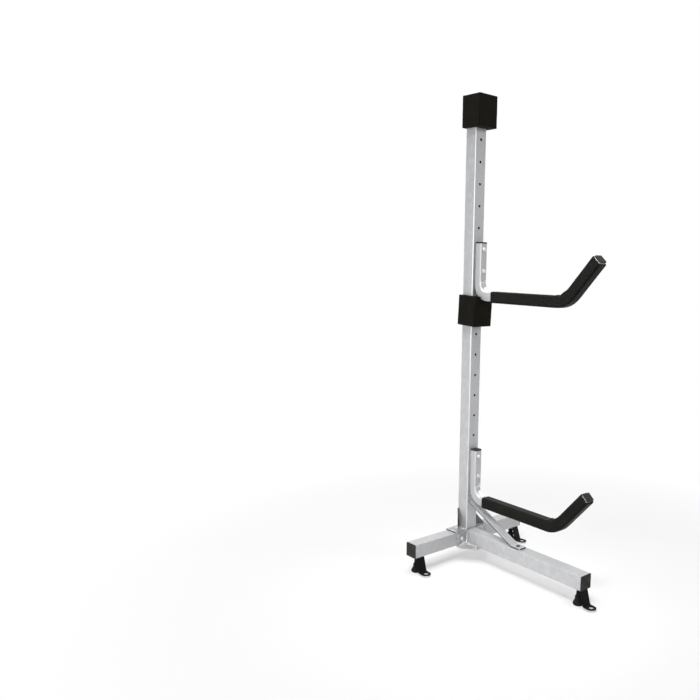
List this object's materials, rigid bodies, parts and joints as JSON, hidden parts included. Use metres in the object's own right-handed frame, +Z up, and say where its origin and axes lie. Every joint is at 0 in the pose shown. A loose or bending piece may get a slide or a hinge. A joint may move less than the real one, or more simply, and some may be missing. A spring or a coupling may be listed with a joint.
{
  "type": "kayak stand",
  "caption": "Freestanding rack for paddle craft: a square-tube post on a T-shaped foot, with foam-covered cradle arms, foam bumpers and levelling feet.",
  "frame": {"origin": "on the floor, under the centre of the stand's bounding box", "axes": "+X forwards along the arms and the front leg, +Y to the left along the cross tube, +Z up"},
  "size_m": [0.6618, 0.536, 1.667],
  "materials": {
    "frame_steel": "satin silver powder coat",
    "zinc": "bright zinc plate",
    "black_steel": "black oxide, low gloss",
    "black_plastic": "fine moulded grain",
    "black_foam": "closed-cell foam, matt"
  },
  "bodies": {
    "frame": {"lower_upright": "frame_steel", "upper_upright": "frame_steel", "upright_coupler": "frame_steel", "coupler_screw": "zinc", "upright_top_cap": "black_plastic", "cross_tube": "frame_steel", "cross_cap_right": "black_plastic", "cross_cap_left": "black_plastic", "front_leg": "frame_steel", "front_leg_cap": "black_plastic", "saddle_bracket": "frame_steel", "leg_bracket": "frame_steel", "leg_weld_right": "frame_steel", "gusset_right": "frame_steel", "leg_weld_left": "frame_steel", "gusset_left": "frame_steel", "brace_strap": "frame_steel", "brace_top_bolt": "zinc", "brace_top_nut": "zinc", "brace_foot_bolt": "zinc", "brace_foot_nut": "zinc", "bracket_bolt_right": "zinc", "bracket_nut_right": "zinc", "bracket_bolt_left": "zinc", "bracket_nut_left": "zinc", "upper_arm_tube": "frame_steel", "upper_arm_sleeve": "black_foam", "upper_arm_top_cap": "black_plastic", "upper_arm_tip_cap": "black_plastic", "upper_arm_low_bolt": "zinc", "upper_arm_low_nut": "zinc", "upper_arm_high_bolt": "zinc", "upper_arm_high_nut": "zinc", "lower_arm_tube": "frame_steel", "lower_arm_sleeve": "black_foam", "lower_arm_top_cap": "black_plastic", "lower_arm_tip_cap": "black_plastic", "lower_arm_low_bolt": "zinc", "lower_arm_low_nut": "zinc", "lower_arm_high_bolt": "zinc", "lower_arm_high_nut": "zinc", "foot_nut_right": "black_steel", "foot_insert_right": "zinc", "foot_nut_left": "black_steel", "foot_insert_left": "zinc", "foot_nut_front": "black_steel", "foot_insert_front": "zinc"},
    "foot_right": {"foot_pad_right": "black_plastic", "foot_stud_right": "black_steel"},
    "tab_right": {"anchor_tab_right": "black_steel"},
    "foot_left": {"foot_pad_left": "black_plastic", "foot_stud_left": "black_steel"},
    "tab_left": {"anchor_tab_left": "black_steel"},
    "foot_front": {"foot_pad_front": "black_plastic", "foot_stud_front": "black_steel"},
    "tab_front": {"anchor_tab_front": "black_steel"},
    "bumper_top": {"top_bumper": "black_foam"},
    "bumper_middle": {"middle_bumper": "black_foam"}
  },
  "joints": [
    {"name": "foot_right_height", "type": "slide", "parent": "frame", "child": "foot_right", "axis": [0, 0, 1], "range_m": [-0.02, 0.004]},
    {"name": "tab_right_turn", "type": "hinge", "parent": "frame", "child": "tab_right", "pos_m": [-0.29285, -0.24099, 0.0585], "axis": [0, 0, 1], "continuous": true},
    {"name": "foot_left_height", "type": "slide", "parent": "frame", "child": "foot_left", "axis": [0, 0, 1], "range_m": [-0.02, 0.004]},
    {"name": "tab_left_turn", "type": "hinge", "parent": "frame", "child": "tab_left", "pos_m": [-0.29285, 0.24099, 0.0585], "axis": [0, 0, 1], "continuous": true},
    {"name": "foot_front_height", "type": "slide", "parent": "frame", "child": "foot_front", "axis": [0, 0, 1], "range_m": [-0.02, 0.004]},
    {"name": "tab_front_turn", "type": "hinge", "parent": "frame", "child": "tab_front", "pos_m": [0.25713, 0, 0.0585], "axis": [0, 0, 1], "continuous": true},
    {"name": "bumper_top_height", "type": "slide", "parent": "frame", "child": "bumper_top", "axis": [0, 0, 1], "range_m": [-0.386, 0]},
    {"name": "bumper_middle_height", "type": "slide", "parent": "frame", "child": "bumper_middle", "axis": [0, 0, 1], "range_m": [-0.0428, 0]}
  ]
}
